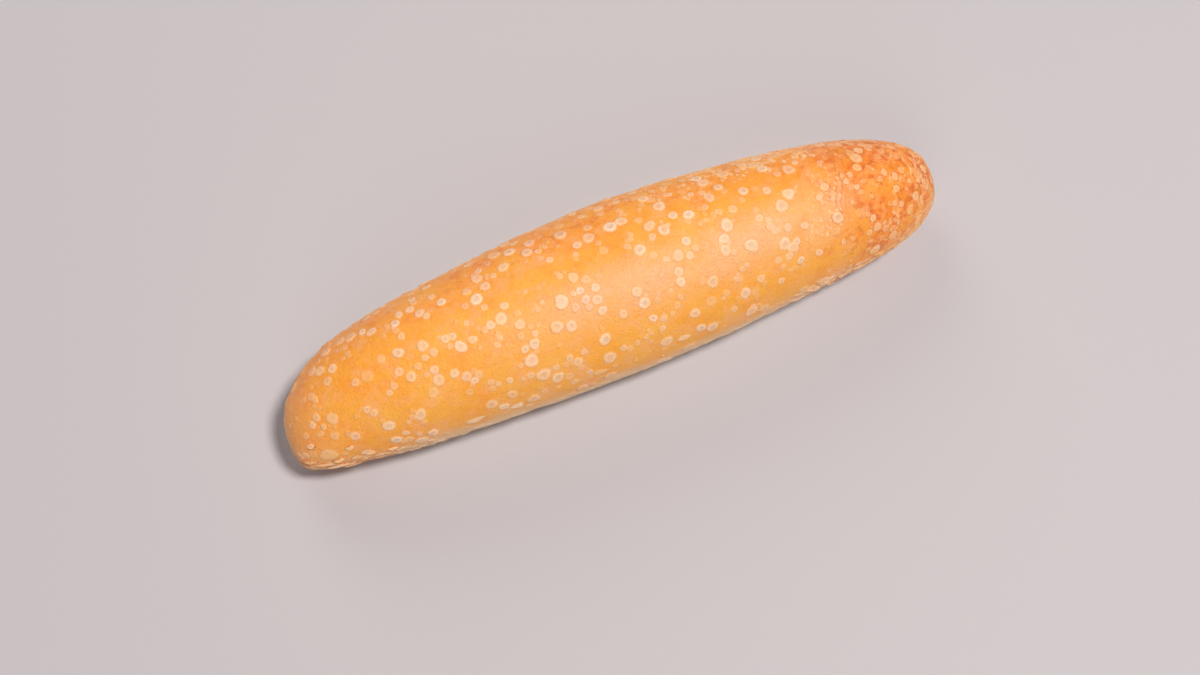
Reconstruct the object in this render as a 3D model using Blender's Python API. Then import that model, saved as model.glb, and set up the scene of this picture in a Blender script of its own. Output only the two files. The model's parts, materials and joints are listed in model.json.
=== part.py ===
# A rohlik: a plain straight bread roll with a smooth golden crust that is covered with pale blisters.
# Metres, +Z up. The roll lies along X on its flat base, with the box's bottom centre at the origin.

import math
import random

import bmesh
import bpy
from mathutils import Matrix, Vector

# Driving sizes
ROLL_LENGTH = 0.200
ROLL_WIDTH = 0.0475
ROLL_HEIGHT = 0.0385

# How blunt each end is from above: the width share is (1 - |s|^long)^(1 / round), s from -1 to 1
NEAR_END = (2.6, 2.8)
FAR_END = (2.0, 2.8)
TOP_ENDS = (2.3, 2.4)
UNDER_ENDS = (6.0, 2.0)

# The roll isn't quite straight or even: it bows to the front, and its noses lean apart
BOW = -0.0020
NEAR_NOSE_LEAN = -0.0033
FAR_NOSE_LEAN = 0.0010
NOSE_START = 0.8
TAPER = 0.036
BELLY = 0.019

# The cross-section: widest at this share of the height, full below, and cut flat where it rests
WIDEST_AT = 0.43
NOSE_DROP = 0.15
UNDER_DEPTH = 1.15
UNDER_FULLNESS = 2.5
LUMP_DEPTH = 0.009

# The faces round the roll and along it
SIDES_ROUND = 40
RINGS_ALONG = 36

# Blisters: the large ones, each with up to this many small ones beside it
CRUST_SEED = 11
LARGE_BLISTERS = 104
MOST_BESIDE = 3
LARGE_RADIUS = (0.0014, 0.0022)
SMALL_RADIUS = (0.0010, 0.0014)
BLISTER_SPACING = 1.12
LOWEST_BLISTER = 0.0055

# Thin flakes of crust along the front, near the widest line, most of them at the near nose
NOSE_FLAKE = (-0.907, 2.67, 0.0026, 0.0018)
FRONT_FLAKES = 16
FLAKE_TURNS = (2.75, 3.45)
FLAKE_HALF_LENGTH = (0.0014, 0.0026)
FLAKE_HALF_WIDTH = (0.0007, 0.0010)

# The low domes of both: their height as a share of their radius, and the share of it sunk in the crust
DOME_RISE = 0.25
DOME_SINK = 0.62
DOME_SIDES = 8
DOME_RINGS = 3

CRUST_COLOUR = (0.90, 0.40, 0.10, 1.0)
CRUST_ROUGHNESS = 0.5


def end_share(s, rounding):
    """The share of the full size that is left at s, from 1 in the middle to 0 at the tip."""
    along, power = rounding
    return max(0.0, 1.0 - abs(s) ** along) ** (1.0 / power)


def centre_line(s):
    """How far the middle of the roll lies to the side at s."""
    nose = max(0.0, (abs(s) - NOSE_START) / (1.0 - NOSE_START)) ** 2
    lean = FAR_NOSE_LEAN if s > 0 else NEAR_NOSE_LEAN
    return BOW * s * s + lean * nose


def half_width(s):
    """Half the width of the roll at s."""
    rounding = FAR_END if s > 0 else NEAR_END
    uneven = 1.0 + TAPER * s + BELLY * math.cos(2.0 * math.pi * s)
    return ROLL_WIDTH / 2.0 * end_share(s, rounding) * uneven


def lump(s, turn):
    """A slow unevenness of the dough, as a share of the size."""
    wave = math.sin(5.1 * s + 2.0 * turn + 0.7) + math.sin(8.3 * s - turn + 2.1)
    return 1.0 + LUMP_DEPTH * wave / 2.0


def crust_point(s, turn):
    """The point of the crust at s along the roll and turn round it, where a quarter turn is the top."""
    across, up = math.cos(turn), math.sin(turn)
    uneven = lump(s, turn)
    middle = ROLL_HEIGHT * (WIDEST_AT - NOSE_DROP * abs(s) ** 3)
    if up >= 0.0:
        y = half_width(s) * across
        z = (ROLL_HEIGHT - middle) * end_share(s, TOP_ENDS) * up
    else:
        power = 2.0 / UNDER_FULLNESS
        y = half_width(s) * math.copysign(abs(across) ** power, across)
        z = -middle * UNDER_DEPTH * end_share(s, UNDER_ENDS) * abs(up) ** power
    return Vector((ROLL_LENGTH / 2.0 * s, centre_line(s) + y * uneven, middle + z * uneven))


def crust_area(s, turn):
    """How much crust a small step of the two angles covers, which makes an even scatter possible."""
    step = 0.01
    polar = math.acos(s)
    along = crust_point(math.cos(polar + step), turn) - crust_point(math.cos(polar - step), turn)
    round_it = crust_point(s, turn + step) - crust_point(s, turn - step)
    return along.cross(round_it).length


def is_clear(spot, spots):
    """Whether a dome, given as (s, turn, half length, half width), keeps off the base and the other domes."""
    place = crust_point(spot[0], spot[1])
    if place.z < LOWEST_BLISTER:
        return False
    for other in spots:
        gap = (crust_point(other[0], other[1]) - place).length
        if gap < BLISTER_SPACING * (spot[2] + other[2]):
            return False
    return True


def add_blisters(spots, chooser):
    """Spreads the large blisters evenly over the crust, each with up to a few small ones beside it."""
    most_area = crust_area(0.0, math.pi / 2.0)
    large = 0
    while large < LARGE_BLISTERS:
        s = math.cos(chooser.uniform(0.0, math.pi))
        turn = chooser.uniform(-0.35, math.pi + 0.35)
        keep = chooser.random() < crust_area(s, turn) / most_area
        radius = chooser.uniform(*LARGE_RADIUS)
        if not keep or not is_clear((s, turn, radius, radius), spots):
            continue
        spots.append((s, turn, radius, radius))
        large += 1
        for _ in range(chooser.randint(0, MOST_BESIDE)):
            small = chooser.uniform(*SMALL_RADIUS)
            reach = 1.05 * BLISTER_SPACING * (small + radius)
            heading = chooser.uniform(0.0, 2.0 * math.pi)
            beside_s = s + reach * math.cos(heading) / (ROLL_LENGTH / 2.0)
            beside_turn = turn + reach * math.sin(heading) / max(half_width(s), 0.006)
            beside = (max(-0.995, min(0.995, beside_s)), beside_turn, small, small)
            if is_clear(beside, spots):
                spots.append(beside)


def add_flakes(spots, chooser):
    """Adds the flakes along the front, crowded at the near nose, where no blister is in the way."""
    wanted = len(spots) + FRONT_FLAKES
    while len(spots) < wanted:
        s = chooser.triangular(-0.97, 0.95, -0.95)
        turn = chooser.uniform(*FLAKE_TURNS)
        flake = (s, turn, chooser.uniform(*FLAKE_HALF_LENGTH), chooser.uniform(*FLAKE_HALF_WIDTH))
        if is_clear(flake, spots):
            spots.append(flake)


def make_material():
    """Baked crust: a golden, slightly glossy skin."""
    crust = bpy.data.materials.new("golden_crust")
    crust.use_nodes = True
    shader = crust.node_tree.nodes["Principled BSDF"]
    shader.inputs["Base Color"].default_value = CRUST_COLOUR
    shader.inputs["Roughness"].default_value = CRUST_ROUGHNESS
    shader.inputs["Metallic"].default_value = 0.0
    return crust


def add_object(name, bm, collection):
    """Makes an object of the bmesh in the collection, and frees the bmesh."""
    mesh = bpy.data.meshes.new(name)
    bm.to_mesh(mesh)
    bm.free()
    made = bpy.data.objects.new(name, mesh)
    collection.objects.link(made)
    return made


def make_crust(collection):
    """A sphere with its poles at the noses, drawn out to the roll's form and cut flat where it rests."""
    bm = bmesh.new()
    bmesh.ops.create_uvsphere(bm, u_segments=SIDES_ROUND, v_segments=RINGS_ALONG, radius=1.0)
    poles_along_x = Matrix.Rotation(math.pi / 2.0, 4, "Y")
    bmesh.ops.transform(bm, matrix=poles_along_x, verts=bm.verts)
    for vertex in bm.verts:
        s = max(-1.0, min(1.0, vertex.co.x))
        vertex.co = crust_point(s, math.atan2(vertex.co.z, vertex.co.y))
    everything = bm.verts[:] + bm.edges[:] + bm.faces[:]
    bmesh.ops.bisect_plane(bm, geom=everything, plane_co=(0, 0, 0), plane_no=(0, 0, 1), clear_inner=True)
    rim = [edge for edge in bm.edges if edge.is_boundary]
    bmesh.ops.holes_fill(bm, edges=rim)
    bmesh.ops.recalc_face_normals(bm, faces=bm.faces)
    return add_object("bread_roll", bm, collection)


def make_dome(name, crust, spot, collection):
    """A low dome part sunk in the crust: a squashed sphere of few faces, whose widest rings have radius 1."""
    s, turn, long, wide = spot
    place, out = crust.closest_point_on_mesh(crust_point(s, turn))[1:3]
    round_it = out.cross(Vector((1.0, 0.0, 0.0))).normalized()
    along = round_it.cross(out)
    rise = DOME_RISE * (long + wide) / 2.0
    widest = 1.0 / math.sin(math.pi / DOME_RINGS)
    bm = bmesh.new()
    bmesh.ops.create_uvsphere(bm, u_segments=DOME_SIDES, v_segments=DOME_RINGS, radius=widest)
    lie_on_crust = Matrix((along * long, round_it * wide, out * rise)).transposed().to_4x4()
    lie_on_crust.translation = place - out * rise * DOME_SINK
    bmesh.ops.transform(bm, matrix=lie_on_crust, verts=bm.verts)
    return add_object(name, bm, collection)


def fuse(crust, raised):
    """Joins the domes in the collection to the crust by one union, and removes them."""
    union = crust.modifiers.new("fuse_blisters", "BOOLEAN")
    union.operation = "UNION"
    union.operand_type = "COLLECTION"
    union.collection = raised
    union.solver = "EXACT"
    bpy.context.view_layer.update()
    with bpy.context.temp_override(object=crust, active_object=crust):
        bpy.ops.object.modifier_apply(modifier=union.name)
    for dome in list(raised.objects):
        bpy.data.objects.remove(dome)
    bpy.data.collections.remove(raised)


def centre(crust):
    """Moves the roll sideways, so that the middle of its box is over the origin."""
    shift = Vector((0.0, 0.0, 0.0))
    for axis in (0, 1):
        places = [vertex.co[axis] for vertex in crust.data.vertices]
        shift[axis] = -(min(places) + max(places)) / 2.0
    crust.data.transform(Matrix.Translation(shift))


def main():
    for old in list(bpy.data.objects):
        bpy.data.objects.remove(old)
    roll = bpy.data.collections.new("rohlik")
    raised = bpy.data.collections.new("blisters_and_flakes")
    bpy.context.scene.collection.children.link(roll)
    bpy.context.scene.collection.children.link(raised)

    crust = make_crust(roll)
    chooser = random.Random(CRUST_SEED)
    spots = [NOSE_FLAKE]
    add_blisters(spots, chooser)
    add_flakes(spots, chooser)
    bpy.context.view_layer.update()
    for number, spot in enumerate(spots):
        make_dome(f"dome_{number}", crust, spot, raised)
    fuse(crust, raised)
    centre(crust)

    crust.data.shade_smooth()
    crust.data.set_sharp_from_angle(angle=math.radians(40.0))
    crust.data.materials.clear()
    crust.data.materials.append(make_material())


main()
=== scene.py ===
import json
import math
import random

import bpy
from mathutils import Matrix, Vector, noise
from mathutils.bvhtree import BVHTree

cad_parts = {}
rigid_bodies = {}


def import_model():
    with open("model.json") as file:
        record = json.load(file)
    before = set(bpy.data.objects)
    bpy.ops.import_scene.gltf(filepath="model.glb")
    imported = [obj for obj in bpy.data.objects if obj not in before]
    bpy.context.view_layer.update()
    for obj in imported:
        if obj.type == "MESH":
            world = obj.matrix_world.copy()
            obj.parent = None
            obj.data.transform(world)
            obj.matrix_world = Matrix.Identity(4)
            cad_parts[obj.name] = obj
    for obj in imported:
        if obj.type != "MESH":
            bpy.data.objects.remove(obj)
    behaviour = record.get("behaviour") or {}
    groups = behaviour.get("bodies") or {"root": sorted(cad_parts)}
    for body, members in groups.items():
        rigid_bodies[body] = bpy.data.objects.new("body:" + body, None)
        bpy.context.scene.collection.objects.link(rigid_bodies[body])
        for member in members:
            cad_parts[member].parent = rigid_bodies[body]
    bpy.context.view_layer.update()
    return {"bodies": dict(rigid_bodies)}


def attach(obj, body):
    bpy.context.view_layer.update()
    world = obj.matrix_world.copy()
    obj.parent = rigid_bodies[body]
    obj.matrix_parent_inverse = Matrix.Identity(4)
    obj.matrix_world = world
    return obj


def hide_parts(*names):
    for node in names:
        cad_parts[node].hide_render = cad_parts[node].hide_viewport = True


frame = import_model()
rollBody = list(frame["bodies"])[0]
print("frame loaded, body", rollBody)


# small helpers

def hexColour(code):  # sRGB hex to the linear colour that the shaders want
    channels = [int(code[place:place + 2], 16) / 255 for place in (1, 3, 5)]
    linear = [c / 12.92 if c <= 0.04045 else ((c + 0.055) / 1.055) ** 2.4 for c in channels]
    return (*linear, 1.0)


def ramp(low, high, value):  # 0 at low, 1 at high, smooth between; low may be the larger
    share = max(0.0, min(1.0, (value - low) / (high - low)))
    return share * share * (3 - 2 * share)


def clamp(value, low, high):
    return max(low, min(high, value))


def pickOnly(piece):
    if bpy.context.object and bpy.context.object.mode != "OBJECT":
        bpy.ops.object.mode_set(mode="OBJECT")
    bpy.ops.object.select_all(action="DESELECT")
    if piece:
        piece.select_set(True)
        bpy.context.view_layer.objects.active = piece


# camera, lights and floor

cameraPlace = {
    "location": (-0.07064, -0.12990, 0.38914),
    "forward": (0.15280, 0.29806, -0.94224),
    "right": (0.91708, -0.39805, 0.02281),
    "lens": 42.58,            # mm
    "sensorWidth": 36.0,
    "clipStart": 0.01,
}


def makeCamera():
    bpy.ops.object.camera_add(location=cameraPlace["location"])
    camera = bpy.context.object
    camera.name = "photoCamera"
    back = -Vector(cameraPlace["forward"]).normalized()
    up = back.cross(Vector(cameraPlace["right"])).normalized()
    camera.rotation_euler = Matrix((up.cross(back), up, back)).transposed().to_euler()
    camera.data.lens = cameraPlace["lens"]
    camera.data.sensor_width = cameraPlace["sensorWidth"]
    camera.data.clip_start = cameraPlace["clipStart"]
    bpy.context.scene.camera = camera


studio = {
    # from where, how far, how wide, how bright it makes a white level surface, and its colour
    "overheadBox": ((0.30, -0.17, 0.93), 2.0, 0.42, 0.79, "#fffcf8"),
    "windowLight": ((-0.05, 0.85, 0.52), 1.6, 1.0, 0.15, "#fffaf5"),
    "frontLight": ((-0.46, -0.72, 0.53), 1.6, 1.2, 0.12, "#ffffff"),
    "airColour": "#faf9fc",
    "airStrength": 0.10,
    "floorColour": "#c4bec1",
    "floorSize": 6.0,
    "floorRoughness": 0.6,
    "floorShine": 0.2,
}


def makeAreaLight(name):
    direction, distance, size, brightness, colour = studio[name]
    away = Vector(direction).normalized()
    bpy.ops.object.light_add(type="AREA", location=away * distance)
    light = bpy.context.object
    light.name = name
    light.rotation_euler = away.to_track_quat("Z", "Y").to_euler()
    light.data.shape = "DISK"
    light.data.size = size
    light.data.energy = brightness * (math.pi * distance) ** 2 / away.z
    light.data.color = hexColour(colour)[:3]


def makeStudio():
    for name in ("overheadBox", "windowLight", "frontLight"):
        makeAreaLight(name)
    air = bpy.data.worlds.new("studioAir")
    air.use_nodes = True
    air.node_tree.nodes["Background"].inputs["Color"].default_value = hexColour(studio["airColour"])
    air.node_tree.nodes["Background"].inputs["Strength"].default_value = studio["airStrength"]
    bpy.context.scene.world = air
    bpy.context.scene.view_settings.view_transform = "Standard"

    bpy.ops.mesh.primitive_plane_add(size=studio["floorSize"])
    floor = bpy.context.object
    floor.name = "studioFloor"
    paint = bpy.data.materials.new("mattPaleFloor")
    paint.use_nodes = True
    shader = paint.node_tree.nodes["Principled BSDF"]
    shader.inputs["Base Color"].default_value = hexColour(studio["floorColour"])
    shader.inputs["Roughness"].default_value = studio["floorRoughness"]
    shader.inputs["Specular IOR Level"].default_value = studio["floorShine"]
    floor.data.materials.append(paint)


# the form of the roll, the same as its solid's

form = {
    "length": 0.200,
    "width": 0.0475,
    "height": 0.0385,
    "nearEnd": (2.6, 2.8),    # bluntness of an end: what is left at s is (1 - |s|^first)^(1 / second)
    "farEnd": (2.0, 2.8),
    "topEnds": (2.3, 2.4),
    "underEnds": (6.0, 2.0),
    "bow": -0.0020,
    "nearNoseLean": -0.0033,
    "farNoseLean": 0.0010,
    "noseStart": 0.8,
    "taper": 0.036,
    "belly": 0.019,
    "widestAt": 0.43,         # as a share of the height
    "noseDrop": 0.15,
    "underDepth": 1.15,
    "underFullness": 2.5,
    "lumpDepth": 0.009,
    "lumpWaves": ((5.1, 2.0, 0.7), (8.3, -1.0, 2.1)),  # along the roll, round it, and where they start
}
halfLength = form["length"] / 2.0


def endShare(s, rounding):
    return max(0.0, 1.0 - abs(s) ** rounding[0]) ** (1.0 / rounding[1])


def centreLine(s):
    nose = max(0.0, (abs(s) - form["noseStart"]) / (1.0 - form["noseStart"])) ** 2
    return form["bow"] * s * s + form["farNoseLean" if s > 0 else "nearNoseLean"] * nose


def halfWidth(s):
    uneven = 1.0 + form["taper"] * s + form["belly"] * math.cos(2.0 * math.pi * s)
    return form["width"] / 2.0 * endShare(s, form["farEnd" if s > 0 else "nearEnd"]) * uneven


def crustPoint(s, turn):  # s runs from -1 at the near nose to 1; turn 0 is the back, a quarter turn the top
    across, up = math.cos(turn), math.sin(turn)
    wave = sum(math.sin(along * s + around * turn + start) for along, around, start in form["lumpWaves"])
    uneven = 1.0 + form["lumpDepth"] * wave / 2.0
    middle = form["height"] * (form["widestAt"] - form["noseDrop"] * abs(s) ** 3)
    if up >= 0.0:
        y = halfWidth(s) * across
        z = (form["height"] - middle) * endShare(s, form["topEnds"]) * up
    else:
        power = 2.0 / form["underFullness"]
        y = halfWidth(s) * math.copysign(abs(across) ** power, across)
        z = -middle * form["underDepth"] * endShare(s, form["underEnds"]) * abs(up) ** power
    return Vector((halfLength * s, centreLine(s) + y * uneven, middle + z * uneven))


def crustFrame(s, turn):  # the point, with the directions along the roll, round it and out of it
    step = 0.002
    polar = math.acos(clamp(s, -1.0, 1.0))
    along = crustPoint(math.cos(polar - step), turn) - crustPoint(math.cos(polar + step), turn)
    along.normalize()
    roundIt = crustPoint(s, turn + step) - crustPoint(s, turn - step)
    out = roundIt.cross(along).normalized()
    return crustPoint(s, turn), along, along.cross(out), out


def crustArea(s, turn):  # how much crust a small step of the two angles covers
    step = 0.01
    polar = math.acos(s)
    along = crustPoint(math.cos(polar + step), turn) - crustPoint(math.cos(polar - step), turn)
    return along.cross(crustPoint(s, turn + step) - crustPoint(s, turn - step)).length


def beside(s, turn, widthAt, reach, heading):  # the place that is so far from another on the crust
    leastHalfWidth = 0.006  # near a nose a step round the roll would be a large turn
    return (s + reach * math.cos(heading) / halfLength,
            turn + reach * math.sin(heading) / max(halfWidth(widthAt), leastHalfWidth))


# where the solid has its large blisters and its flakes, by the solid's own rule

solidSpots = {
    "seed": 11,
    "large": 104,
    "mostBeside": 3,
    "largeRadius": (0.0014, 0.0022),
    "smallRadius": (0.0010, 0.0014),
    "spacing": 1.12,
    "besideGap": 1.05,        # as a share of the spacing
    "endmost": 0.995,         # the last s that has any
    "pastSides": 0.35,        # how far round below the sides they go, in radians
    "lowest": 0.0055,
    "noseFlake": (-0.907, 2.67, 0.0026, 0.0018),
    "flakes": 16,
    "flakesAlong": (-0.97, 0.95, -0.95),  # from and to which s, and where most of them are
    "flakeTurns": (2.75, 3.45),
    "flakeHalfLength": (0.0014, 0.0026),
    "flakeHalfWidth": (0.0007, 0.0010),
}


def isClear(spot, spots):
    place = crustPoint(spot[0], spot[1])
    if place.z < solidSpots["lowest"]:
        return False
    for other in spots:
        gap = (crustPoint(other[0], other[1]) - place).length
        if gap < solidSpots["spacing"] * (spot[2] + other[2]):
            return False
    return True


def chooseSolidSpots():  # blisters, then flakes, each as (s, turn, half length, half width)
    chooser = random.Random(solidSpots["seed"])
    spots = [solidSpots["noseFlake"]]
    mostArea = crustArea(0.0, math.pi / 2.0)
    past, endmost = solidSpots["pastSides"], solidSpots["endmost"]
    large = 0
    while large < solidSpots["large"]:
        s = math.cos(chooser.uniform(0.0, math.pi))
        turn = chooser.uniform(-past, math.pi + past)
        keep = chooser.random() < crustArea(s, turn) / mostArea
        radius = chooser.uniform(*solidSpots["largeRadius"])
        if not keep or not isClear((s, turn, radius, radius), spots):
            continue
        spots.append((s, turn, radius, radius))
        large += 1
        for _ in range(chooser.randint(0, solidSpots["mostBeside"])):
            small = chooser.uniform(*solidSpots["smallRadius"])
            reach = solidSpots["besideGap"] * solidSpots["spacing"] * (small + radius)
            besideS, besideTurn = beside(s, turn, s, reach, chooser.uniform(0.0, 2.0 * math.pi))
            spot = (clamp(besideS, -endmost, endmost), besideTurn, small, small)
            if isClear(spot, spots):
                spots.append(spot)
    blisters = spots[1:]
    wanted = len(spots) + solidSpots["flakes"]
    while len(spots) < wanted:
        s = chooser.triangular(*solidSpots["flakesAlong"])
        turn = chooser.uniform(*solidSpots["flakeTurns"])
        flake = (s, turn, chooser.uniform(*solidSpots["flakeHalfLength"]),
                 chooser.uniform(*solidSpots["flakeHalfWidth"]))
        if isClear(flake, spots):
            spots.append(flake)
    return blisters, [spots[0]] + spots[len(blisters) + 1:]


# the crust

crustSkin = {
    "facesRound": 236,
    "facesAlong": 380,
    "baseRounding": 0.0006,   # how softly the sides turn into the flat base
    "sidesFrom": (0.0002, 0.0012),   # the height where the sides start to be uneven, and are so fully
    "unevenSize": 0.017,      # slow unevenness of the dough
    "unevenDepth": 0.0005,
    "leatherSize": 0.0034,    # the leathery skin
    "leatherDepth": 0.00011,
    "scalySize": 0.0017,      # the scaly skin low on the sides
    "scalyDepth": 0.00018,
    "scalyBelow": (0.0155, 0.0105),  # the height where it starts, and is full
    "scalyAbove": (0.0004, 0.0025),
    "wrinkleAt": 0.0660,      # where the skin is puckered, near the far end
    "wrinkleReach": 0.0035,
    "wrinkleTurn": 1.70,
    "wrinkleTurnReach": 0.38,
    "wrinkleSlant": 0.45,     # the puckers run askew: this far along for each step to the back
    "wrinkleSpacing": 0.0015,
    "wrinkleDepth": 0.00011,
    "wrinkleWobble": 2.0,     # in radians
    "wobbleScale": 300.0,
}


def wrinkle(place, turn):
    along = place.x - crustSkin["wrinkleSlant"] * place.y
    away = (along - crustSkin["wrinkleAt"]) / crustSkin["wrinkleReach"]
    over = (turn - crustSkin["wrinkleTurn"]) / crustSkin["wrinkleTurnReach"]
    wobble = crustSkin["wrinkleWobble"] * noise.noise(place * crustSkin["wobbleScale"])
    wave = math.sin(2.0 * math.pi * along / crustSkin["wrinkleSpacing"] + wobble)
    return crustSkin["wrinkleDepth"] * wave * math.exp(-away * away - over * over)


def displace(piece, name, size, depth, group):
    texture = bpy.data.textures.new(name, "CLOUDS")
    texture.noise_scale = size
    texture.noise_depth = 2
    push = piece.modifiers.new(name, "DISPLACE")
    push.texture = texture
    push.strength = depth
    push.vertex_group = group
    bpy.ops.object.modifier_apply(modifier=name)


def makeCrust():
    pickOnly(None)
    bpy.ops.mesh.primitive_uv_sphere_add(
        segments=crustSkin["facesRound"], ring_count=crustSkin["facesAlong"], radius=1.0,
        rotation=(0.0, math.pi / 2.0, 0.0))
    crust = bpy.context.object
    crust.name = "rollCrust"
    bpy.ops.object.transform_apply(location=False, rotation=True, scale=False)
    crust.data.uv_layers[0].name = "OFBake"
    sides = crust.vertex_groups.new(name="sides")  # all but the base
    low = crust.vertex_groups.new(name="low")      # the scaly skin above the base
    poles = 0.999  # past this s a nose's tip has no direction along or round
    for vertex in crust.data.vertices:
        s = clamp(vertex.co.x, -1.0, 1.0)
        turn = math.atan2(vertex.co.z, vertex.co.y)
        place = crustPoint(s, turn)
        place.z = (place.z + math.hypot(place.z, crustSkin["baseRounding"])) / 2.0
        if abs(s) < poles:
            place += crustFrame(s, turn)[3] * wrinkle(place, turn)
        vertex.co = place
        sides.add([vertex.index], ramp(*crustSkin["sidesFrom"], place.z), "REPLACE")
        scaly = ramp(*crustSkin["scalyBelow"], place.z) * ramp(*crustSkin["scalyAbove"], place.z)
        low.add([vertex.index], scaly, "REPLACE")
    pickOnly(crust)
    displace(crust, "uneven", crustSkin["unevenSize"], crustSkin["unevenDepth"], "sides")
    displace(crust, "leathery", crustSkin["leatherSize"], crustSkin["leatherDepth"], "sides")
    displace(crust, "scaly", crustSkin["scalySize"], crustSkin["scalyDepth"], "low")
    bpy.ops.object.shade_smooth()
    return crust


# shapes that repeat: a blister in three sizes, and a flake

# Each ring from the foot inwards, then the middle: share of the radius, share of the height.
repeatedShapes = {
    "large": {
        "sides": 14,
        "rings": ((1.38, -0.40), (1.22, 0.10), (1.05, 0.34), (0.84, 0.82), (0.60, 1.00), (0.32, 0.66)),
        "middle": 0.46,
    },
    "medium": {
        "sides": 12,
        "rings": ((1.40, -0.40), (1.22, 0.10), (1.00, 0.42), (0.72, 1.00), (0.36, 0.72)),
        "middle": 0.50,
    },
    "small": {
        "sides": 9,
        "rings": ((1.40, -0.40), (1.14, 0.20), (0.72, 0.95), (0.36, 0.95)),
        "middle": 0.85,
    },
    "flake": {
        "sides": 12,
        "rings": ((1.50, -0.40), (1.22, 0.10), (1.00, 0.65), (0.82, 1.00), (0.42, 0.82)),
        "middle": 0.74,
    },
}


def modelShape(kind):  # by hand: a disc, drawn in and up ring by ring
    shape = repeatedShapes[kind]
    rings = shape["rings"]
    pickOnly(None)
    bpy.ops.mesh.primitive_circle_add(vertices=shape["sides"], radius=rings[0][0], fill_type="NGON",
                                      location=(0.0, 0.0, rings[0][1]))
    model = bpy.context.object
    bpy.ops.object.transform_apply(location=True, rotation=False, scale=False)
    bpy.ops.object.mode_set(mode="EDIT")
    bpy.ops.mesh.select_mode(type="FACE")
    bpy.ops.mesh.select_all(action="SELECT")
    for before, after in zip(rings, rings[1:]):
        bpy.ops.mesh.extrude_region_move()
        shrink = after[0] / before[0]
        bpy.ops.transform.resize(value=(shrink, shrink, 1.0), center_override=(0.0, 0.0, 0.0))
        bpy.ops.transform.translate(value=(0.0, 0.0, after[1] - before[1]))
    bpy.ops.mesh.poke(offset=shape["middle"] - rings[-1][1])
    bpy.ops.mesh.select_all(action="SELECT")
    bpy.ops.mesh.normals_make_consistent(inside=False)
    bpy.ops.object.mode_set(mode="OBJECT")
    corners = [vertex.co.copy() for vertex in model.data.vertices]
    faces = [tuple(face.vertices) for face in model.data.polygons]
    bpy.data.objects.remove(model)
    return corners, faces


def drawLobes(chooser, kinds):  # for each kind of lobe its number, how deep it is and where it starts
    anywhere = 6.28
    return [(number, chooser.uniform(least, most), chooser.uniform(0.0, anywhere))
            for number, least, most in kinds]


def outlineOf(spot, corner):  # a corner of the round shape, moved to the spot's own uneven outline
    angle = math.atan2(corner.y, corner.x)
    uneven = 1.0
    for lobes, depth, phase in spot["lobes"]:
        uneven += depth * math.cos(lobes * angle + phase)
    flat = Vector((corner.x * spot["long"], corner.y * spot["wide"])) * uneven
    inwards = max(0.0, 1.0 - math.hypot(corner.x, corner.y))
    flat += Vector(spot["lean"]) * inwards * spot["wide"]
    return Matrix.Rotation(spot["spin"], 2) @ flat


def layOnCrust(name, spots, model, crustTree):  # one piece, with a copy of the shape at every spot
    corners, ownFaces = model
    widest = max(corner.length for corner in corners)
    cells = math.ceil(math.sqrt(len(spots)))
    cellReach = 0.45  # how far a copy goes from the middle of its cell of the UV map
    marks = ("pale", "hollow", "edge")  # the same all over a copy
    values = {mark: [] for mark in ("inwards", *marks)}  # inwards is 0 at the outline and 1 in the middle
    points, faces, uvs = [], [], []
    for number, spot in enumerate(spots):
        place, along, roundIt, out = crustFrame(spot["s"], spot["turn"])
        first = len(points)
        cellUvs = []
        for corner in corners:
            flat = outlineOf(spot, corner)
            onCrust = crustTree.find_nearest(place + along * flat.x + roundIt * flat.y)[0]
            lift = spot["height"] * (corner.z + spot["tilt"] * max(0.0, corner.y))
            points.append(onCrust + out * lift)
            values["inwards"].append(1.0 - math.hypot(corner.x, corner.y))
            for mark in marks:
                values[mark].append(spot[mark])
            cellUvs.append(((number % cells + 0.5 + cellReach * corner.x / widest) / cells,
                            (number // cells + 0.5 + cellReach * corner.y / widest) / cells))
        for face in ownFaces:
            faces.append([first + corner for corner in face])
            uvs.extend(cellUvs[corner] for corner in face)
    mesh = bpy.data.meshes.new(name)
    mesh.from_pydata(points, [], faces)
    for mark, ofCorners in values.items():
        mesh.attributes.new(mark, "FLOAT", "POINT").data.foreach_set("value", ofCorners)
    mesh.uv_layers.new(name="OFBake").data.foreach_set("uv", [part for uv in uvs for part in uv])
    piece = bpy.data.objects.new(name, mesh)
    bpy.context.scene.collection.objects.link(piece)
    pickOnly(piece)
    bpy.ops.object.shade_smooth_by_angle(angle=math.radians(60.0))
    print(name, len(spots), "copies,", len(faces), "faces")
    return piece


# blisters

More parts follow.
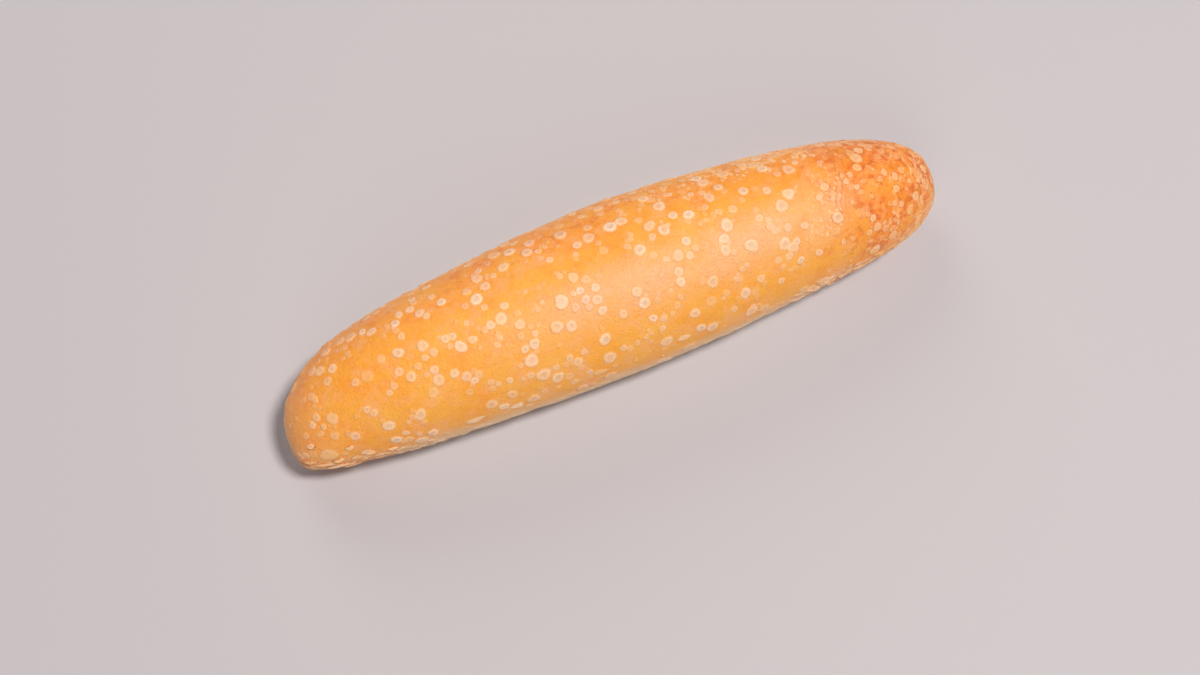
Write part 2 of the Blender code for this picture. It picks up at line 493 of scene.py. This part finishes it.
blisters = {
    "seed": 4,
    "dressSeed": 8,
    "perSquareCm": 5.4,       # the small ones, over all of the crust but the base
    "squareCm": 190.0,
    "thickness": {            # how thickly they stand: everywhere, and how much more or less in some places
        "everywhere": 0.80, "nearEnd": 0.40, "farEnd": 2.70, "back": 0.25, "farBack": 1.60,
        "lowFewer": 0.85, "patches": 0.90, "least": 0.08, "most": 4.4,
    },
    "patchSize": 0.013,       # crowded and bare patches alternate at this size
    "medianRadius": 0.00084,
    "spread": 0.42,
    "limits": (0.00042, 0.00180),
    "smallerAtEnds": 0.15,
    "solidShare": 0.88,       # how much of the radius of the solid's own shows above the crust
    "broad": 50,              # faint, broad ones that have all but sunk back
    "broadRadius": (0.0010, 0.0017),
    "lowestAt": 0.0042,
    "endmost": 0.99,          # the last s that has any
    "tipGap": 0.03,           # the same as an angle, for the first of a group
    "pastSides": 0.7,         # how far round below the sides they go, in radians
    "apart": 1.0,             # how near to another, as a share of both radii
    "broadApart": 0.95,
    "touching": (0, 0, 0, 0, 1, 1, 2, 3),  # how many touch or run together with one, each as likely
    "touchingReach": (0.72, 1.25),
    "touchingSize": 0.9,
    "touchingApart": 0.70,
    "mediumFrom": 0.00078,
    "largeFrom": 0.00135,

    # the looks of one
    "height": 0.14,           # as a share of the radius
    "heights": (0.75, 1.3),   # as shares of that
    "leastHeight": 0.00002,
    "oval": 0.06,
    "lean": (0.0, 0.20),      # how far the middle is off, as a share of the radius
    "hollow": (0.35, 1.0),
    "lobes": ((2, 0.0, 0.06), (3, 0.0, 0.08)),
    # the edge is browned where the crust is toasted, and elsewhere painted shade round the foot
    "edges": (0.5, 1.0),      # how dark the edge is, where the crust is toasted
    # painted shade: the least dark edge, round the foot of every blister
    "leastEdgeShade": 0.26,
    "faintEdge": 0.4,
    "faintPaleness": (0.12, 0.36),
    "faintHeight": 0.35,
    "drawnOut": {             # how far, how far askew from straight across the roll, and how pale
        "bead": ((1.1, 1.7), 0.3, (0.25, 0.80)),
        "crowded": ((1.0, 1.35), 0.8, (0.25, 0.95)),
    },

    # tiny ones in rows across the roll, where its skin is puckered
    "beadRows": (0.0585, 0.0602, 0.0616, 0.0631, 0.0645, 0.0660, 0.0674),
    "beadTurns": (1.36, 2.25),
    "beadStart": (0.0, 0.2),
    "beadStagger": 0.00045,
    "beadRadius": (0.00032, 0.00055),
    "beadGap": (0.0012, 0.0034),

    # little ones, crowded at the far end and along its back
    "crowd": 1100,
    "crowdPolar": (0.05, 1.6),   # the angle of which s is the cosine
    "crowdTurns": (0.0, 3.3),
    "crowdLowest": 0.008,
    "crowdRadius": (0.00036, 0.00090),
    "crowdPatchSize": 0.0065,
}


def crowding(s, turn, place):  # how thickly the blisters stand, 1 where they stand thickest
    thickness = blisters["thickness"]
    ends = thickness["nearEnd"] * ramp(-0.70, -0.98, s) + thickness["farEnd"] * ramp(0.50, 0.90, s)
    farBack = thickness["farBack"] * ramp(1.35, 0.75, turn) * ramp(-0.20, 0.45, s)
    back = thickness["back"] * ramp(1.4, 0.7, turn) + farBack
    low = thickness["lowFewer"] * ramp(0.026, 0.016, place.z) * ramp(0.85, 0.55, abs(s))
    patches = thickness["patches"] * noise.noise(place / blisters["patchSize"])
    return max(thickness["least"], thickness["everywhere"] + ends + back - low + patches) / thickness["most"]


def chooseSmallBlisters(taken):
    chooser = random.Random(blisters["seed"])
    mostArea = crustArea(0.0, math.pi / 2.0)
    places = [(crustPoint(spot[0], spot[1]), spot[2]) for spot in taken]
    chosen = []

    def drawRadius(s):
        size = blisters["medianRadius"] * math.exp(chooser.gauss(0.0, blisters["spread"]))
        return clamp(size * (1.0 - blisters["smallerAtEnds"] * ramp(0.6, 0.95, abs(s))), *blisters["limits"])

    def drawPlace():
        gap, past = blisters["tipGap"], blisters["pastSides"]
        while True:
            s = math.cos(chooser.uniform(gap, math.pi - gap))
            turn = chooser.uniform(-past, math.pi + past)
            if chooser.random() < crowding(s, turn, crustPoint(s, turn)) * crustArea(s, turn) / mostArea:
                return s, turn

    def tryAdd(s, turn, radius, apart):
        place = crustPoint(s, turn)
        if place.z < blisters["lowestAt"]:
            return False
        for other, otherRadius in places:
            if (other - place).length < apart * (radius + otherRadius):
                return False
        places.append((place, radius))
        chosen.append((s, turn, radius))
        return True

    while len(chosen) < blisters["broad"]:
        tryAdd(*drawPlace(), chooser.uniform(*blisters["broadRadius"]), blisters["broadApart"])
    while len(chosen) < blisters["perSquareCm"] * blisters["squareCm"]:
        s, turn = drawPlace()
        if not tryAdd(s, turn, drawRadius(s), blisters["apart"]):
            continue
        group = [chosen[-1]]
        for _ in range(chooser.choice(blisters["touching"])):
            fromS, fromTurn, fromRadius = chooser.choice(group)
            radius = clamp(drawRadius(s) * blisters["touchingSize"], *blisters["limits"])
            reach = chooser.uniform(*blisters["touchingReach"]) * (radius + fromRadius)
            besideS, besideTurn = beside(fromS, fromTurn, s, reach, chooser.uniform(0.0, 2.0 * math.pi))
            onRoll = abs(besideS) < blisters["endmost"]
            if onRoll and tryAdd(besideS, besideTurn, radius, blisters["touchingApart"]):
                group.append(chosen[-1])
    return chosen


def dressBlister(chooser, s, turn, radius, kind):
    oval = 1.0 + abs(chooser.gauss(0.0, blisters["oval"]))
    spin = chooser.uniform(0.0, 2.0 * math.pi)
    heading = chooser.uniform(0.0, 2.0 * math.pi)
    lean = chooser.uniform(*blisters["lean"])
    paleness = 0.05 + 0.50 * ramp(0.0005, 0.0014, radius) + 0.44 * chooser.random() ** 2  # few are strong
    hollow = chooser.uniform(*blisters["hollow"])
    height = blisters["height"] * radius * chooser.uniform(*blisters["heights"])
    if kind == "faint":
        paleness = chooser.uniform(*blisters["faintPaleness"])
        height *= blisters["faintHeight"]
    elif kind in blisters["drawnOut"]:
        ovals, askew, shades = blisters["drawnOut"][kind]
        oval = chooser.uniform(*ovals)
        spin = math.pi / 2.0 + chooser.gauss(0.0, askew)
        paleness = chooser.uniform(*shades)
    lobes = drawLobes(chooser, blisters["lobes"])
    toasted = max(ramp(0.40, 0.78, s), 0.5 * ramp(1.30, 0.75, turn) * ramp(-0.3, 0.3, s))
    darkness = blisters["faintEdge"] if kind in ("faint", "bead") else chooser.uniform(*blisters["edges"])
    return {
        "s": s, "turn": turn, "spin": spin, "long": radius * oval, "wide": radius / oval, "lobes": lobes,
        "lean": (lean * math.cos(heading), lean * math.sin(heading)),
        "height": height + blisters["leastHeight"], "tilt": 0.0,
        "pale": clamp(paleness, 0.10, 1.0), "hollow": hollow if kind == "plain" else 0.0,
        # the edge is at least the painted shade round the foot, and more where the crust is toasted
        "edge": max(blisters["leastEdgeShade"], toasted) * darkness,
    }


def chooseBeads(chooser):
    beads = []
    for row in blisters["beadRows"]:
        turn = blisters["beadTurns"][0] + chooser.uniform(*blisters["beadStart"])
        while turn < blisters["beadTurns"][1]:
            askew = crustSkin["wrinkleSlant"] * crustPoint(row / halfLength, turn).y
            s = (row + askew + chooser.gauss(0.0, blisters["beadStagger"])) / halfLength
            beads.append((s, turn, chooser.uniform(*blisters["beadRadius"]), "bead"))
            turn += chooser.uniform(*blisters["beadGap"]) / halfWidth(s)
    return beads


def chooseCrowd(chooser):
    mostArea = crustArea(0.0, math.pi / 2.0)
    small, large = blisters["crowdRadius"]
    crowd = []
    while len(crowd) < blisters["crowd"]:
        s = math.cos(chooser.uniform(*blisters["crowdPolar"]))
        turn = chooser.uniform(*blisters["crowdTurns"])
        place = crustPoint(s, turn)
        thick = max(ramp(0.72, 0.92, s), 0.8 * ramp(1.25, 0.80, turn) * ramp(0.05, 0.45, s))
        thick *= 1.0 - 0.85 * ramp(0.85, 0.45, abs(turn - 1.65)) * ramp(0.93, 0.86, s)  # barer on top
        patches = 0.5 + 1.3 * noise.noise(place / blisters["crowdPatchSize"])
        if place.z <= blisters["crowdLowest"]:
            continue
        if chooser.random() < thick * patches * crustArea(s, turn) / mostArea:
            crowd.append((s, turn, small + (large - small) * chooser.random() ** 2, "crowded"))
    return crowd


def makeBlisters(solidBlisters, taken, crustTree):
    chooser = random.Random(blisters["dressSeed"])
    spots = [(s, turn, blisters["solidShare"] * long, "plain") for s, turn, long, wide in solidBlisters]
    for number, (s, turn, radius) in enumerate(chooseSmallBlisters(taken)):
        spots.append((s, turn, radius, "faint" if number < blisters["broad"] else "plain"))
    spots.extend(chooseBeads(chooser))
    spots.extend(chooseCrowd(chooser))
    sizes = {"large": [], "medium": [], "small": []}
    for s, turn, radius, kind in spots:
        size = "small"
        if radius > blisters["mediumFrom"]:
            size = "large" if radius > blisters["largeFrom"] else "medium"
        sizes[size].append(dressBlister(chooser, s, turn, radius, kind))
    return [layOnCrust(size + "Blisters", dressed, modelShape(size), crustTree)
            for size, dressed in sizes.items()]


# flakes of thin skin, along the front and round both ends

flakes = {
    "seed": 21,
    "solidHeight": 0.00015,   # of the solid's own flakes
    # the layered slivers round the near nose: s, turn in degrees, half length and half width in mm
    "nose": ((-0.963, 161, 2.2, 0.42), (-0.929, 172, 3.2, 0.50), (-0.888, 166, 1.9, 0.45),
             (-0.801, 168, 1.5, 0.40), (-0.744, 171, 1.4, 0.35), (-0.942, 132, 1.2, 0.70),
             (-0.848, 152, 1.3, 0.60), (-0.958, 180, 3.4, 0.50), (-0.900, 181, 3.4, 0.45),
             (-0.972, 190, 3.0, 0.60), (-0.925, 191, 4.0, 0.50), (-0.865, 189, 3.0, 0.45)),
    "noseHeight": 0.00036,
    # how many at random, between which s and turns, their half lengths and half widths, and their height
    "bands": {
        "noseRim": (46, (-0.985, -0.60), (3.08, 3.46), (0.0005, 0.0013), (0.00022, 0.00045), 0.00036),
        "frontRim": (170, (-0.70, 0.95), (3.22, 3.56), (0.0006, 0.0018), (0.00022, 0.00044), 0.00010),
        "frontFlecks": (40, (-0.80, 0.80), (2.80, 3.16), (0.00025, 0.0007), (0.00012, 0.00022), 0.00010),
        "farRim": (80, (0.45, 0.96), (3.02, 3.50), (0.0008, 0.0020), (0.00028, 0.00055), 0.00036),
        "backRim": (80, (0.25, 0.93), (0.26, 0.85), (0.0005, 0.0013), (0.00022, 0.00042), 0.00010),
    },
    "mostHeight": 0.5,        # as a share of the half width
    "askew": 0.12,            # in radians
    "lobes": ((2, 0.0, 0.12), (3, 0.04, 0.12), (5, 0.02, 0.08)),
    "tilt": (0.0, 1.2),
    "paleness": (0.60, 1.0),
}


def dressFlake(chooser, s, turn, long, wide, height):
    return {
        "s": s, "turn": turn, "spin": chooser.gauss(0.0, flakes["askew"]), "long": long, "wide": wide,
        "lobes": drawLobes(chooser, flakes["lobes"]), "lean": (0.0, 0.0), "height": height,
        "tilt": chooser.uniform(*flakes["tilt"]), "pale": chooser.uniform(*flakes["paleness"]), "hollow": 0.0,
        # painted shade: a dark line round the flake's rim, darker on the narrow ones near the ends
        "edge": 0.2 + 0.7 * ramp(0.4, 0.8, abs(s)) * ramp(0.0012, 0.0006, wide),  # darker at the ends
    }


def makeFlakes(solidFlakes, crustTree):
    chooser = random.Random(flakes["seed"])
    dressed = []
    for s, turn, long, wide in solidFlakes:
        dressed.append(dressFlake(chooser, s, turn, long, wide, flakes["solidHeight"]))
    for s, degrees, long, wide in flakes["nose"]:
        dressed.append(dressFlake(chooser, s, math.radians(degrees), long / 1000.0, wide / 1000.0,
                                  flakes["noseHeight"]))
    for number, alongRange, turnRange, longRange, wideRange, height in flakes["bands"].values():
        for _ in range(number):
            wide = chooser.uniform(*wideRange)
            dressed.append(dressFlake(chooser, chooser.uniform(*alongRange), chooser.uniform(*turnRange),
                                      chooser.uniform(*longRange), wide,
                                      min(height, flakes["mostHeight"] * wide)))
    return layOnCrust("crustFlakes", dressed, modelShape("flake"), crustTree)


# the crust's material

crustFinish = {
    # the browned colour, from hardly baked to well baked
    "baked": ((0.00, "#febb60"), (0.28, "#feaf46"), (0.45, "#fea434"), (0.62, "#fe982a"),
              (0.80, "#f68120"), (1.00, "#dc6018")),
    "layers": {                   # what lies over it, from the first to the last
        "yellower": "#feb342",
        "pinker": "#feaa70",
        # partly a pale, dry bloom and partly painted sheen: a painted highlight along the top
        "dryBloomAndSheen": "#f4bf97",       # pale and dry, along the top
        # painted highlight: a pale rim light along the back edge of the far end, in the bloom's colour
        "paintedBackRimLight": "#f4bf97",   # the same, in the back edge of the far end
        "puckered": "#fcc382",    # paler where the skin is puckered, near the far end
        # painted shade in the lines of those puckers
        "foldShade": "#dc661a",       # the lines of those puckers
        "toasted": "#dc661a",     # darker gaps at the far end and along the back
        "lowSkin": "#f4d0aa",     # a tan band low on the sides
        "rimSkin": "#fbdfb6",     # paler scales below it
        # painted shade: darker on the low front at the far end, where the crust rolls under
        "farLowShade": "#da825a",        # the low front at the far end
        "creased": "#dc661a",     # the low front at the near nose
        "pores": "#b9500f",
    },
    "blister": "#ffddbc",
    "blisterHollow": "#dac2b4",
    "toastedBlister": "#ffc784",
    # the dark edge of blisters and flakes: browned crust where toasted, and painted shade round the foot
    # elsewhere
    "outline": "#b9500f",
    "underside": "#bd7c40",
    "undersideRidge": "#d49a5c",
    "roughness": 0.50,
    "ior": 1.45,
    "sheen": 0.28,                # the finest flour dust, which pales the edges
    "sheenTint": "#ffdcb0",
    "bumps": (("speck", 0.9, 0.00015), ("grain", 0.9, 0.00014), ("blotch", 0.8, 0.00026)),

    # the size of the noises, in metres
    "noises": {"patch": 0.0110, "hue": 0.0055, "mottle": 0.0042, "blotch": 0.0019, "grain": 0.0008,
               "speck": 0.00045},
    "foldScale": 230.0,           # folds about 1.4 mm apart

    # the parts of the roll: along which axis, where each starts and where it is full
    "regions": {"farEnd": ("x", 0.040, 0.084), "nearNose": ("x", -0.055, -0.088),
                "back": ("y", 0.000, 0.017), "front": ("y", -0.008, -0.019)},

    # sums of the noises, the places and the regions: a first value, and the weight of each
    "sums": {
        "busy": (1.0, {"farEnd": 1.6}),
        "fine": (-0.235, {"blotch": 0.26, "grain": 0.12, "speck": 0.09}),
        "tint": (0.0, {"blotch": 0.4, "hue": 0.6}),
        "gaps": (0.0, {"mottle": 1.0, "blotch": 1.0}),
        "wavyHeight": (0.0, {"z": 1.0, "patch": 0.006}),
        "ragged": (-0.22, {"grain": 0.44, "inwards": 1.0}),  # from a blister's uneven outline inwards
        "ridgy": (0.0, {"blotch": 1.0, "patch": 0.6, "grain": 0.5}),
    },
    "bakedLevel": -0.165,         # how far it is baked is a sum too: more at the far end and along the back
    "bakedBy": {"patch": 0.62, "mottle": 0.50, "farEnd": 0.40, "back": 0.15, "front": -0.08,
                "nearNose": 0.07},

    "blisterToastedBy": {"nearNose": 0.35, "farEnd": 0.65},
    "dullBy": 0.12,               # how much rougher it is low on the sides and on the blisters
    "roughBy": 0.30,              # how uneven its roughness is

    # How much there is of a layer or a colour is the product of its fades. A fade goes by one of the above,
    # from nothing at its first number to full at its second, or from its third number to its fourth.
    "fades": {
        "yellower": (("tint", 0.48, 0.62, 0.0, 0.45),),
        "pinker": (("tint", 0.54, 0.34, 0.0, 0.50),),
        "pinkTip": (("x", -0.080, -0.098, 0.0, 0.42),),
        # painted highlight: where the sheen falls along the top, mixed with the dry bloom
        "dryBloomAndSheen": (("patch", 0.30, 0.62, 0.12, 0.50), ("y", 0.003, -0.007), ("y", -0.020, -0.010),
                  ("x", -0.056, -0.002), ("x", 0.080, 0.046)),
        # painted rim light along the back edge of the far end
        "paintedBackRimLight": (("y", 0.0095, 0.0135, 0.0, 0.45), ("x", 0.062, 0.078)),
        "puckered": (("blotch", 0.42, 0.60, 0.05, 0.35), ("y", 0.009, 0.001), ("y", -0.020, -0.012),
                     ("along", 0.049, 0.054), ("along", 0.064, 0.061)),
        # painted shade in the fold lines of the puckered skin
        "foldShade": (("waves", 0.30, 0.05, 0.0, 0.498), ("y", 0.009, 0.003), ("y", -0.014, -0.006),
                  ("along", 0.058, 0.060), ("along", 0.064, 0.062)),
        "toasted": (("gaps", 1.04, 1.22, 0.0, 0.62),),
        "lowSkin": (("wavyHeight", 0.0225, 0.0150, 0.0, 0.85), ("x", 0.076, 0.045, 0.25),
                    ("x", -0.088, -0.068, 0.20)),
        "rimSkin": (("wavyHeight", 0.0142, 0.0120), ("grain", 0.38, 0.56, 0.35), ("x", 0.076, 0.045, 0.25),
                    ("x", -0.088, -0.068, 0.20)),
        # painted shade low on the front at the far end
        "farLowShade": (("wavyHeight", 0.0185, 0.0125, 0.0, 0.85), ("x", 0.020, 0.060), ("y", 0.000, -0.008),
                 ("blotch", 0.30, 0.50), ("z", 0.003, 0.010)),
        "creased": (("wavyHeight", 0.0190, 0.0130, 0.0, 0.60), ("x", -0.064, -0.080), ("y", -0.004, -0.010),
                    ("grain", 0.30, 0.55), ("z", 0.003, 0.009)),
        "pores": (("speck", 0.50, 0.68, 0.0, 0.16),),
        "blister": (("ragged", -0.32, 0.22), ("speck", 0.30, 0.62, 0.66, 1.12),
                    ("ragged", 0.20, 0.52, 1.0, 0.82)),
        "blisterHollow": (("ragged", 0.38, 0.66), ("farEnd", 0.0, 1.0, 1.0, 0.35)),
        "toastedBlister": (("hue", 0.46, 0.62, 0.0, 0.45),),
        "outline": (("ragged", 0.08, -0.14, 0.0, 0.85), ("speck", 0.42, 0.58, 0.20)),
        "underside": (("facing", -0.5, -0.9), ("z", 0.0030, 0.0010)),
        "undersideRidge": (("ridgy", 0.75, 1.35),),
    },
}


def addNode(material, kind, inputs, **settings):  # an input is a value, a socket or a node
    node = material.node_tree.nodes.new("ShaderNode" + kind)
    for name, value in settings.items():
        setattr(node, name, value)
    for name, value in inputs.items():
        if isinstance(value, bpy.types.Node):
            value = value.outputs[2 if value.bl_idname == "ShaderNodeMix" else 0]
        if isinstance(value, bpy.types.NodeSocket):
            material.node_tree.links.new(value, node.inputs[name])
        else:
            node.inputs[name].default_value = value
    return node


# Baked wheat crust: a thin, hard skin of browned starch, with a soft shine where it is smooth,
# pale where steam has lifted it in blisters, and paler and duller low on the sides.
def makeCrustMaterial():
    crust = bpy.data.materials.new("bakedWheatCrust")
    crust.use_nodes = True
    shader = crust.node_tree.nodes["Principled BSDF"]
    smooth = {"interpolation_type": "SMOOTHSTEP"}
    times, timesPlus = {"operation": "MULTIPLY"}, {"operation": "MULTIPLY_ADD"}
    larger, inColour = {"operation": "MAXIMUM"}, {"data_type": "RGBA"}

    # what the patterns go by: places, noises, what the blisters and flakes carry, regions and sums
    coordinates = addNode(crust, "TexCoord", {})
    place = coordinates.outputs["Object"]
    slant = math.atan(crustSkin["wrinkleSlant"])
    askew = addNode(crust, "Mapping", {"Vector": place, "Rotation": (0.0, 0.0, slant)})
    given = dict(zip("xyz", addNode(crust, "SeparateXYZ", {0: place}).outputs))
    given["along"] = addNode(crust, "SeparateXYZ", {0: askew}).outputs[0]  # across the puckers
    given["facing"] = addNode(crust, "SeparateXYZ", {0: coordinates.outputs["Normal"]}).outputs[2]
    given["waves"] = addNode(crust, "TexWave", {
        "Vector": askew, "Scale": crustFinish["foldScale"], "Distortion": 5.0, "Detail": 2.0,
        "Detail Scale": 1.5})
    for name, size in crustFinish["noises"].items():
        given[name] = addNode(crust, "TexNoise", {"Vector": place, "Scale": 1.0 / size, "Detail": 2.0})
    for name in ("inwards", "pale", "hollow", "edge"):
        given[name] = addNode(crust, "Attribute", {}, attribute_name=name).outputs["Fac"]
    for name, (axis, bare, full) in crustFinish["regions"].items():
        given[name] = addNode(crust, "MapRange", {0: given[axis], 1: bare, 2: full}, **smooth)
    for name, (first, weights) in crustFinish["sums"].items():
        given[name] = first
        for part, weight in weights.items():
            given[name] = addNode(crust, "Math", {0: given[part], 1: weight, 2: given[name]}, **timesPlus)

    # how much there is of each layer and colour; some start from a region or from a blister's own value
    halfBack = addNode(crust, "Math", {0: given["back"], 1: 0.5}, **times)
    farAndBack = addNode(crust, "Math", {0: given["farEnd"], 1: halfBack}, **larger)
    amount = {"toasted": farAndBack, "blister": given["pale"], "blisterHollow": given["hollow"],
              "outline": given["edge"]}
    for name, fades in crustFinish["fades"].items():
        for goesBy, *numbers in fades:
            fade = addNode(crust, "MapRange", dict(enumerate((given[goesBy], *numbers))), **smooth)
            amount[name] = addNode(crust, "Math", {0: amount.get(name, 1.0), 1: fade}, **times)
    amount["pinker"] = addNode(crust, "Math", {0: amount["pinker"], 1: amount["pinkTip"]}, **larger)

    # the browned colour and what lies over it
    level = crustFinish["bakedLevel"]
    baked = addNode(crust, "Math", {0: given["fine"], 1: given["busy"], 2: level}, **timesPlus)
    for part, weight in crustFinish["bakedBy"].items():
        baked = addNode(crust, "Math", {0: given[part], 1: weight, 2: baked}, **timesPlus)
    colour = browning = addNode(crust, "ValToRGB", {0: baked})
    stops = browning.color_ramp.elements
    stops.remove(stops[1])
    for number, (position, code) in enumerate(crustFinish["baked"]):
        stop = stops.new(position) if number else stops[0]
        stop.color = hexColour(code)
    for name, code in crustFinish["layers"].items():
        colour = addNode(crust, "Mix", {0: amount[name], 6: colour, 7: hexColour(code)}, **inColour)

    # blisters and flakes: a pale ring, a greyer hollow, and a dark edge, browned where the crust is toasted
    # and elsewhere painted shade round the foot
    toasting = amount["toastedBlister"]
    for part, weight in crustFinish["blisterToastedBy"].items():
        toasting = addNode(crust, "Math", {0: given[part], 1: weight, 2: toasting}, use_clamp=True,
                           **timesPlus)
    pallor = addNode(crust, "Mix", {0: toasting, 6: hexColour(crustFinish["blister"]),
                                    7: hexColour(crustFinish["toastedBlister"])}, **inColour)
    pallor = addNode(crust, "Mix", {0: amount["blisterHollow"], 6: pallor,
                                    7: hexColour(crustFinish["blisterHollow"])}, **inColour)
    colour = addNode(crust, "Mix", {0: amount["blister"], 6: colour, 7: pallor}, **inColour)
    colour = addNode(crust, "Mix", {0: amount["outline"], 6: colour,
                                    7: hexColour(crustFinish["outline"])}, **inColour)

    # the underside
    browned = addNode(crust, "Mix", {0: amount["undersideRidge"], 6: hexColour(crustFinish["underside"]),
                                     7: hexColour(crustFinish["undersideRidge"])}, **inColour)
    colour = addNode(crust, "Mix", {0: amount["underside"], 6: colour, 7: browned}, **inColour)
    crust.node_tree.links.new(colour.outputs[2], shader.inputs["Base Color"])

    # duller low on the sides and on the blisters
    uneven = crustFinish["roughBy"]
    least = crustFinish["roughness"] - uneven / 2.0
    rough = addNode(crust, "Math", {0: given["blotch"], 1: uneven, 2: least}, **timesPlus)
    dull = addNode(crust, "Math", {0: amount["lowSkin"], 1: amount["blister"]}, **larger)
    rough = addNode(crust, "Math", {0: dull, 1: crustFinish["dullBy"], 2: rough}, **timesPlus)
    crust.node_tree.links.new(rough.outputs[0], shader.inputs["Roughness"])
    shader.inputs["IOR"].default_value = crustFinish["ior"]
    shader.inputs["Sheen Weight"].default_value = crustFinish["sheen"]
    shader.inputs["Sheen Tint"].default_value = hexColour(crustFinish["sheenTint"])

    relief = {}
    for name, strength, distance in crustFinish["bumps"]:
        relief["Normal"] = addNode(crust, "Bump", {"Strength": strength, "Distance": distance,
                                                   "Height": given[name], **relief})
    crust.node_tree.links.new(relief["Normal"].outputs[0], shader.inputs["Normal"])
    return crust


# put together

makeCamera()
makeStudio()
print("camera and studio made")

rollCrust = makeCrust()
print("crust made:", len(rollCrust.data.polygons), "faces")
crustTree = BVHTree.FromObject(rollCrust, bpy.context.evaluated_depsgraph_get())
solidBlisters, solidFlakes = chooseSolidSpots()
pieces = [rollCrust, *makeBlisters(solidBlisters, solidBlisters + solidFlakes, crustTree)]
pieces.append(makeFlakes(solidFlakes, crustTree))

bakedCrust = makeCrustMaterial()
for piece in pieces:
    piece.data.materials.clear()
    piece.data.materials.append(bakedCrust)
    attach(piece, rollBody)
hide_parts("bread_roll")
print("pieces dressed:", len(pieces))
